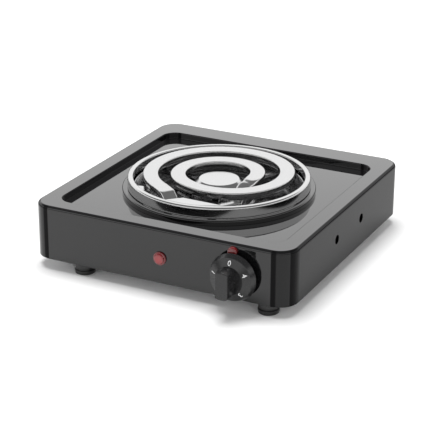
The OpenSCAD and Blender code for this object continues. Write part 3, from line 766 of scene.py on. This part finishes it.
def tube_line(settings):
    """Centre line of the tube and the height it is pressed flat to, from the terminal end of the
    inner leg to that of the outer leg."""
    middle = COIL_TOP - settings.tube_height / 2
    first, last = -13, 598
    angle = np.linspace(first, last, 300)
    radius = coil_radius(angle, settings)
    dip = 3.2 * MM * (1 - smooth((angle - first) / 22))
    turn = np.radians(angle)
    spiral = np.stack([radius * np.cos(turn), radius * np.sin(turn), middle - dip], 1)
    inner_turn = np.array([27.3 * MM, -22 * MM, LOW_Z + 39.5 * MM])
    inner_end = np.array([8 * MM, -71 * MM, LOW_Z + 42 * MM])
    outer_end = np.array([-8.5 * MM, -69.5 * MM, LOW_Z + 44 * MM])
    u = np.linspace(0, 1, 16)[1:, None]
    fall = spiral[0] + (inner_turn - spiral[0]) * np.hstack([u, u, smooth(u)])
    run = inner_turn + (inner_end - inner_turn) * u
    u = np.linspace(0, 1, 41)[1:, None]
    drop = np.maximum(0, (u - 0.45) / 0.55)
    rise = spiral[-1] + (outer_end - spiral[-1]) * np.hstack([u, u, drop])
    line = np.concatenate([run[::-1], fall[::-1], spiral, rise])
    press = np.full(len(line), COIL_TOP)
    press[-len(rise):] = rise[:, 2] + settings.tube_height / 2
    line[:, :2] += BURNER
    return line, press


def build_coil(settings):
    """A rounded tube carried along its line and pressed flat on top. Its section is a cubic
    superellipse above its widest line and an ellipse below; heights over the press are eased down
    to it, so the flat narrows to a point where the tube dives."""
    line, press = tube_line(settings)
    width, height = settings.tube_width / 2, settings.tube_height
    crown, belly = 4.8 * MM, height - 2.6 * MM
    angle = np.linspace(0, 2 * math.pi, 64, endpoint=False)
    cos, sin = np.cos(angle), np.sin(angle)
    power = np.where(sin > 0, 2 / 3, 1.0)
    side = width * np.sign(cos) * np.abs(cos) ** power
    up = np.where(sin > 0, crown, belly) * np.sign(sin) * np.abs(sin) ** power
    up += height / 2 - 2.6 * MM
    along = np.gradient(line, axis=0)
    along /= np.linalg.norm(along, axis=1)[:, None]
    across = np.cross([0, 0, 1], along)
    across /= np.linalg.norm(across, axis=1)[:, None]
    above = np.cross(along, across)
    grid = line[:, None] + across[:, None] * side[None, :, None] + above[:, None] * up[None, :, None]
    ease = 0.45 * MM
    limit = press[:, None]
    z = grid[..., 2]
    near = np.clip(1 - np.abs(z - limit) / ease, 0, 1)
    grid[..., 2] = np.minimum(z, limit) - near ** 2 * ease / 4
    ends = [np.repeat(grid[k].mean(0)[None], len(angle), 0)[None] for k in (0, -1)]
    return skin("coil_tube", np.concatenate([ends[0], grid, ends[1]]))


def build_cap():
    """The centre cap: a flat disc with a sloped edge, turned about the burner."""
    top, low = CAP_MID[2] + CAP_HALF[2], CAP_MID[2] - CAP_HALF[2]
    out = CAP_HALF[0]
    flat = out - 4.3 * MM
    outline = rounded([(0, top, 0), (flat, top, 0.6 * MM), (out, top - 2.9 * MM, 0.3 * MM),
                       (out - 0.4 * MM, top - 3.2 * MM, 0.1 * MM),
                       (flat - 0.4 * MM, top - 0.8 * MM, 0.4 * MM),
                       (4 * MM, top - 0.8 * MM, 0.3 * MM), (4 * MM, low, 0.2 * MM), (0, low, 0)],
                      closed=False, hold=0.1 * MM)
    return lathe("cap_disc", outline, (*BURNER, 0), count=128, closed=False)


def build_arm(number, turn, settings):
    """One support arm: an upside-down channel with a rounded back, whose skirt is shallower where it
    rests on the bowl's rim."""
    half, wall = settings.arm_width / 2, 0.8 * MM
    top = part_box("support_spider")[1].z
    stations = [(9 * MM, 4 * MM), (71 * MM, 4 * MM), (72.5 * MM, 2.1 * MM), (78.8 * MM, 2.1 * MM)]
    rows = []
    for reach, deep in stations:
        outline = rounded([(half, -deep, 0), (half, 0, 2.6 * MM), (-half, 0, 2.6 * MM), (-half, -deep, 0),
                           (wall - half, -deep, 0), (wall - half, -wall, 1.8 * MM),
                           (half - wall, -wall, 1.8 * MM), (half - wall, -deep, 0)], hold=0.05 * MM)
        rows.append(np.column_stack([np.full(len(outline), reach), outline]))
    local = np.array(rows)
    c, s = math.cos(turn), math.sin(turn)
    x, y = local[..., 0] * c - local[..., 1] * s, local[..., 0] * s + local[..., 1] * c
    grid = np.stack([x + BURNER[0], y + BURNER[1], local[..., 2] + top], -1)
    count = grid.shape[1]
    piece = skin(f"spider_arm_{number}", grid, tidy=False)
    close = bmesh.new()
    close.from_mesh(piece.data)
    close.verts.ensure_lookup_table()
    for row in (0, len(stations) - 1):
        close.faces.new([close.verts[row * count + k] for k in range(count)])
    bmesh.ops.recalc_face_normals(close, faces=close.faces)
    close.to_mesh(piece.data)
    close.free()
    piece.data.set_sharp_from_angle(angle=math.radians(50))
    return piece


def build_hub():
    """The washer that joins the arms, turned about the burner."""
    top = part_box("support_spider")[1].z
    outline = rounded([(12 * MM, top, 0.3 * MM), (2.2 * MM, top, 0.1 * MM),
                       (2.2 * MM, top - 0.8 * MM, 0.1 * MM),
                       (12 * MM, top - 0.8 * MM, 0.3 * MM)], hold=0.05 * MM)
    return lathe("spider_hub", outline, (*BURNER, 0), count=64)


def build_bracket():
    """The terminal bracket: a flat plate with a rounded outline."""
    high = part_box("terminal_bracket")[1].z
    base = np.array([BODY_MID[0], BODY_MID[1]])
    outline = rounded([(-59 * MM, -58 * MM, 1 * MM), (-26 * MM, -52 * MM, 3 * MM),
                       (-7 * MM, -57 * MM, 1 * MM), (-7 * MM, -44 * MM, 2 * MM),
                       (-28 * MM, -40 * MM, 3 * MM), (-63 * MM, -49 * MM, 1 * MM)],
                      hold=0)
    return plate("bracket_plate", outline + base, high - 1 * MM, high, bevel=0.2 * MM)


# ---------------------------------------------------------------- knob and lamps
def build_knob():
    """Skirt, numbered cone and sunk disc of the knob, turned about its axis."""
    out = KNOB_HALF[0]
    outline = rounded([(0, 1.2 * MM, 0), (15.4 * MM, 1.2 * MM, 0.5 * MM), (16 * MM, 4.5 * MM, 0.2 * MM),
                       (out, 4.5 * MM, 0.6 * MM), (19.1 * MM, 10 * MM, 0.6 * MM),
                       (12.3 * MM, 13.4 * MM, 0.25 * MM), (11.9 * MM, 12.6 * MM, 0.2 * MM),
                       (0, 12.6 * MM, 0)], closed=False, hold=0.1 * MM)
    origin = (KNOB_MID[0], FRONT_Y, KNOB_MID[2])
    return lathe("knob_dial", outline, origin, facing_front, count=128, closed=False)


def build_grip(settings):
    """The grip: a bar whose ends follow a circle about the knob's axis."""
    half, radius = settings.grip_width / 2, 12.1 * MM
    limit = math.acos(half / radius)
    arc = np.linspace(limit, math.pi - limit, 24)
    top = radius * np.stack([np.cos(arc), np.sin(arc)], 1)
    outline = np.concatenate([top, -top])
    out = FRONT_Y - (KNOB_MID[1] - KNOB_HALF[1])
    origin = (KNOB_MID[0], FRONT_Y, KNOB_MID[2])
    return plate("knob_grip", outline, 12.2 * MM, out, facing_front, origin, bevel=0.5 * MM, segments=3)


def build_pip(number, side):
    """A small moulded dome at the top or the bottom of the sunk disc."""
    outline = rounded([(0, 13.6 * MM, 0), (1.1 * MM, 13.5 * MM, 0.4 * MM), (1.3 * MM, 12.6 * MM, 0)],
                      closed=False, hold=0.05 * MM)
    origin = (KNOB_MID[0], FRONT_Y, KNOB_MID[2] + side * 10.2 * MM)
    return lathe(f"knob_pip_{number}", outline, origin, facing_front, count=24, closed=False)


def build_figure(number, settings):
    """A figure laid on the knob's cone, its head outwards, a step further round for each one."""
    text = bpy.data.curves.new(f"figure_{number}", "FONT")
    text.body, text.size, text.extrude = str(number), settings.digit_height, 0.12 * MM
    text.align_x, text.align_y = "CENTER", "CENTER"
    holder = bpy.data.objects.new(f"figure_{number}", text)
    bpy.context.scene.collection.objects.link(holder)
    bpy.context.view_layer.update()
    mesh = bpy.data.meshes.new_from_object(holder.evaluated_get(bpy.context.evaluated_depsgraph_get()))
    bpy.data.objects.remove(holder)
    turn = -number * math.radians(74)
    slope = math.atan2(3.4, 6.8)
    radius = 15.0 * MM
    depth = 13.4 * MM - (radius - 12.3 * MM) * math.tan(slope)
    outward = Vector((math.sin(turn), math.cos(turn), 0))
    reading = Vector((math.cos(turn), -math.sin(turn), 0))
    head = outward * math.cos(slope) - Vector((0, 0, math.sin(slope)))
    axis = reading.cross(head)
    spot = outward * radius + Vector((0, 0, depth))
    local = Matrix((reading, head, axis)).transposed().to_4x4()
    local.translation = spot
    front = Matrix(((1, 0, 0, KNOB_MID[0]), (0, 0, -1, FRONT_Y), (0, 1, 0, KNOB_MID[2]), (0, 0, 0, 1)))
    mesh.transform(front @ local)
    return finish_mesh(f"knob_figure_{number}", mesh)


def build_pilot():
    """The round lamp lens: a stepped dome turned about its own axis."""
    middle, half = span("pilot_lens")
    out = half[0]
    outline = rounded([(0, 0, 0), (out, 0, 0.2 * MM), (out, 1.5 * MM, 0.5 * MM),
                       (4.9 * MM, 1.7 * MM, 0.3 * MM),
                       (4.3 * MM, 3.0 * MM, 0.9 * MM), (0, 3.2 * MM, 0)], closed=False, hold=0.08 * MM)
    return lathe("pilot_dome", outline, (middle[0], FRONT_Y, middle[2]), facing_front, 96, False)


def build_index():
    """The index lens: a domed stem turned about its own axis."""
    middle, half = span("index_lens")
    out = half[0]
    outline = rounded([(0, -5.8 * MM, 0), (2.2 * MM, -5.8 * MM, 0.3 * MM), (2.2 * MM, 0, 0),
                       (out, 0, 0.2 * MM), (out, 3.6 * MM, 1.4 * MM), (0, 3.6 * MM, 0)],
                      closed=False, hold=0.08 * MM)
    return lathe("index_dome", outline, (middle[0], FRONT_Y, middle[2]), facing_front, 80, False)


# ---------------------------------------------------------------- feet and gland
def build_foot(node):
    """A moulded foot: a tread with a hollow for its screw, a groove and a flared collar."""
    middle, half = span(node)
    out, top = half[0], 2 * half[2]
    outline = rounded([(2.1 * MM, 5 * MM, 0), (4 * MM, 3 * MM, 0.3 * MM), (4 * MM, 0, 0.3 * MM),
                       (out - 0.3 * MM, 0, 0.9 * MM), (out, 3.5 * MM, 0.5 * MM),
                       (out - 1.2 * MM, 4.2 * MM, 0.3 * MM),
                       (out - 1.2 * MM, 5 * MM, 0.3 * MM), (out - 0.3 * MM, 5.6 * MM, 0.5 * MM),
                       (out - 1.2 * MM, top, 0.4 * MM), (2.1 * MM, top, 0)], hold=0.08 * MM)
    return lathe(node + "_rubber", outline, (middle[0], middle[1], 0), count=80)


def build_gland():
    """Cord gland: a ribbed rubber boot round an open bore."""
    middle = span("cord_gland")[0]
    outline = rounded([(3.6 * MM, -8 * MM, 0.2 * MM), (7.6 * MM, -8 * MM, 0.5 * MM),
                       (8 * MM, -0.8 * MM, 0.2 * MM),
                       (6.4 * MM, -0.8 * MM, 0.1 * MM), (6.4 * MM, 0, 0.1 * MM), (8.5 * MM, 0, 0.4 * MM),
                       (8.3 * MM, 1.2 * MM, 0.4 * MM), (7.6 * MM, 1.5 * MM, 0.2 * MM),
                       (7.7 * MM, 1.9 * MM, 0.3 * MM),
                       (7.4 * MM, 3 * MM, 0.5 * MM), (3.6 * MM, 3 * MM, 0.5 * MM)], hold=0.05 * MM)
    return lathe("gland_boot", outline, (middle[0], REAR_Y, middle[2]), facing_rear, count=80)


# ---------------------------------------------------------------- studio
def aim_camera(settings):
    """A level camera turned, lifted and rolled by its settings, at a distance from its target."""
    turn, lift, roll = settings.turn, settings.lift, settings.roll
    back = Vector((math.sin(turn) * math.cos(lift), -math.cos(turn) * math.cos(lift), math.sin(lift)))
    right = Vector((math.cos(turn), math.sin(turn), 0))
    up = back.cross(right)
    tilted = right * math.cos(roll) + up * math.sin(roll)
    upright = up * math.cos(roll) - right * math.sin(roll)
    look_at = Vector((BODY_MID[0] - 9.619 * MM, BODY_MID[1] + 19.525 * MM, LOW_Z))
    lens = bpy.data.cameras.new("studio_camera")
    lens.lens, lens.sensor_width, lens.clip_end = settings.focal, 36, 50
    camera = bpy.data.objects.new("studio_camera", lens)
    pose = Matrix((tilted, upright, back)).transposed().to_4x4()
    pose.translation = look_at + back * settings.distance
    camera.matrix_world = pose
    bpy.context.scene.collection.objects.link(camera)
    bpy.context.scene.camera = camera


def lay_floor():
    """A wide disc of paper: rings of points whose radius grows by a fixed ratio."""
    radius = np.concatenate([[0], np.geomspace(0.05, 9, 24)])[:, None]
    angle = np.linspace(0, 2 * math.pi, 96, endpoint=False)
    grid = np.stack([radius * np.cos(angle), radius * np.sin(angle), 0 * radius * angle], -1)
    floor = skin("studio_floor", grid)
    floor.data.materials.append(seamless_paper("seamless paper"))


def light_room(settings):
    """Walls with a bright low band and a dim upper part, and a softbox that only lights."""
    world = bpy.data.worlds.new("studio")
    bpy.context.scene.world = world
    world.use_nodes = True
    tree = world.node_tree
    where = tree.nodes.new("ShaderNodeTexCoord")
    height = tree.nodes.new("ShaderNodeSeparateXYZ")
    tree.links.new(where.outputs["Generated"], height.inputs[0])
    level = None
    steps = ((0.14, 0.21, 0.15, settings.band), (0.50, 0.62, 1.0, settings.ceiling / settings.band))
    for start, end, below, above in steps:
        ramp = tree.nodes.new("ShaderNodeMapRange")
        ramp.interpolation_type = "SMOOTHSTEP"
        for key, value in (("From Min", start), ("From Max", end), ("To Min", below), ("To Max", above)):
            ramp.inputs[key].default_value = value
        tree.links.new(height.outputs["Z"], ramp.inputs["Value"])
        if level is None:
            level = ramp
            continue
        both = tree.nodes.new("ShaderNodeMath")
        both.operation = "MULTIPLY"
        tree.links.new(level.outputs[0], both.inputs[0])
        tree.links.new(ramp.outputs[0], both.inputs[1])
        tree.links.new(both.outputs[0], tree.nodes["Background"].inputs["Strength"])
    tree.nodes["Background"].inputs["Color"].default_value = (1, 1, 1, 1)
    light = bpy.data.lights.new("softbox", "AREA")
    light.shape, light.size, light.size_y, light.energy = "RECTANGLE", 1.0, 1.0, settings.softbox
    box = bpy.data.objects.new("softbox", light)
    box.location = (-0.15, 0.1, 1.5)
    box.rotation_euler = (Vector((0, 0, 0)) - box.location).to_track_quat("-Z", "Y").to_euler()
    box.visible_glossy = False
    bpy.context.scene.collection.objects.link(box)


# ---------------------------------------------------------------- operators
class HOTPLATE_OT_studio(bpy.types.Operator):
    """Sets up the camera, the floor and the lights"""

    bl_idname = "hotplate.studio"
    bl_label = "Studio"

    def execute(self, context):
        settings = context.scene.hot_plate_studio
        aim_camera(settings)
        lay_floor()
        light_room(settings)
        context.scene.view_settings.view_transform = "Standard"
        return {"FINISHED"}


class HOTPLATE_OT_housing(bpy.types.Operator):
    """Builds the pressed and enamelled body"""

    bl_idname = "hotplate.housing"
    bl_label = "Housing"

    def execute(self, context):
        piece = build_housing(context.scene.hot_plate_housing)
        settle(piece, finishes()["grey_enamel"], "base", "grey_enamel", "top_housing")
        return {"FINISHED"}


class HOTPLATE_OT_burner(bpy.types.Operator):
    """Builds the seat, the drip pan, the trim ring with its tab and the centre cap"""

    bl_idname = "hotplate.burner"
    bl_label = "Burner"

    def execute(self, context):
        settings = context.scene.hot_plate_burner
        made = finishes()
        settle(build_seat(settings), made["black_enamel"], "base", "black_enamel", "burner_seat")
        settle(build_pan(), made["chrome_sheet"], "base", "chrome_sheet", "drip_pan")
        settle(build_ring(settings), made["bright_trim"], "base", "bright_trim", "trim_ring")
        settle(build_tab(settings), made["bright_trim"], "base", "bright_trim", "trim_ring")
        settle(build_cap(), made["bright_trim"], "base", "bright_trim", "centre_cap")
        settle(build_bracket(), made["bright_trim"], "base", "bright_trim", "terminal_bracket")
        return {"FINISHED"}


class HOTPLATE_OT_coil(bpy.types.Operator):
    """Builds the heating tube and the arms under it"""

    bl_idname = "hotplate.coil"
    bl_label = "Heating Tube"

    def execute(self, context):
        settings = context.scene.hot_plate_burner
        made = finishes()
        settle(build_coil(settings), made["heater_tube"], "base", "heater_tube", "heating_coil")
        for number, angle in enumerate((52, 172, 292)):
            arm = build_arm(number, math.radians(angle), settings)
            settle(arm, made["chrome_sheet"], "base", "chrome_sheet", "support_spider")
        settle(build_hub(), made["chrome_sheet"], "base", "chrome_sheet", "support_spider")
        return {"FINISHED"}


class HOTPLATE_OT_knob(bpy.types.Operator):
    """Builds the control knob with its figures"""

    bl_idname = "hotplate.knob"
    bl_label = "Knob"

    def execute(self, context):
        settings = context.scene.hot_plate_knob
        plastic = finishes()["black_plastic"]
        settle(build_knob(), plastic, "control_knob", "black_plastic", "knob")
        settle(build_grip(settings), plastic, "control_knob", "black_plastic", "knob")
        for number, side in enumerate((1, -1)):
            settle(build_pip(number, side), plastic, "control_knob", "black_plastic")
        ink = printed("white print", (0.85, 0.85, 0.85))
        for number in range(settings.figures):
            settle(build_figure(number, settings), ink, "control_knob", "black_plastic")
        return {"FINISHED"}


class HOTPLATE_OT_lamps(bpy.types.Operator):
    """Builds the two red lenses"""

    bl_idname = "hotplate.lamps"
    bl_label = "Lamps"

    def execute(self, context):
        red = finishes()["red_lens"]
        settle(build_pilot(), red, "base", "red_lens", "pilot_lens")
        settle(build_index(), red, "base", "red_lens", "index_lens")
        return {"FINISHED"}


class HOTPLATE_OT_rubber(bpy.types.Operator):
    """Builds the four feet and the cord gland"""

    bl_idname = "hotplate.rubber"
    bl_label = "Feet and Gland"

    def execute(self, context):
        made = finishes()
        for end in ("front", "rear"):
            for side in ("left", "right"):
                node = f"foot_{end}_{side}"
                settle(build_foot(node), made["foot_rubber"], "base", "foot_rubber", node)
        settle(build_gland(), made["gland_rubber"], "base", "gland_rubber", "cord_gland")
        return {"FINISHED"}


class HOTPLATE_OT_inside(bpy.types.Operator):
    """Gives every carried-over CAD node its finish"""

    bl_idname = "hotplate.inside"
    bl_label = "Inner Parts"

    def execute(self, context):
        made = finishes()
        for part in frame["record"]["subparts"]:
            mesh = frame["nodes"][part["node"]].data
            mesh.materials.clear()
            mesh.materials.append(made[part["material_slot"]])
        return {"FINISHED"}


class HOTPLATE_PT_panel(bpy.types.Panel):
    """Lists the builders of the hot plate"""

    bl_label = "Hot Plate"
    bl_idname = "HOTPLATE_PT_panel"
    bl_space_type = "VIEW_3D"
    bl_region_type = "UI"
    bl_category = "Hot Plate"

    def draw(self, context):
        for operator in OPERATORS:
            self.layout.operator(operator.bl_idname)


GROUPS = {"hot_plate_housing": HousingSettings, "hot_plate_burner": BurnerSettings,
          "hot_plate_knob": KnobSettings, "hot_plate_studio": StudioSettings}
OPERATORS = (HOTPLATE_OT_studio, HOTPLATE_OT_housing, HOTPLATE_OT_burner, HOTPLATE_OT_coil,
             HOTPLATE_OT_knob, HOTPLATE_OT_lamps, HOTPLATE_OT_rubber, HOTPLATE_OT_inside)


def register():
    for group in (*GROUPS.values(), *OPERATORS, HOTPLATE_PT_panel):
        bpy.utils.register_class(group)
    for name, group in GROUPS.items():
        setattr(bpy.types.Scene, name, PointerProperty(type=group))


def unregister():
    for name in GROUPS:
        delattr(bpy.types.Scene, name)
    for group in (HOTPLATE_PT_panel, *reversed(OPERATORS), *GROUPS.values()):
        bpy.utils.unregister_class(group)


def main():
    """Registers the add-on and builds every piece in order."""
    register()
    for operator in OPERATORS:
        getattr(bpy.ops.hotplate, operator.bl_idname.split(".")[1])()


if __name__ == "__main__":
    main()
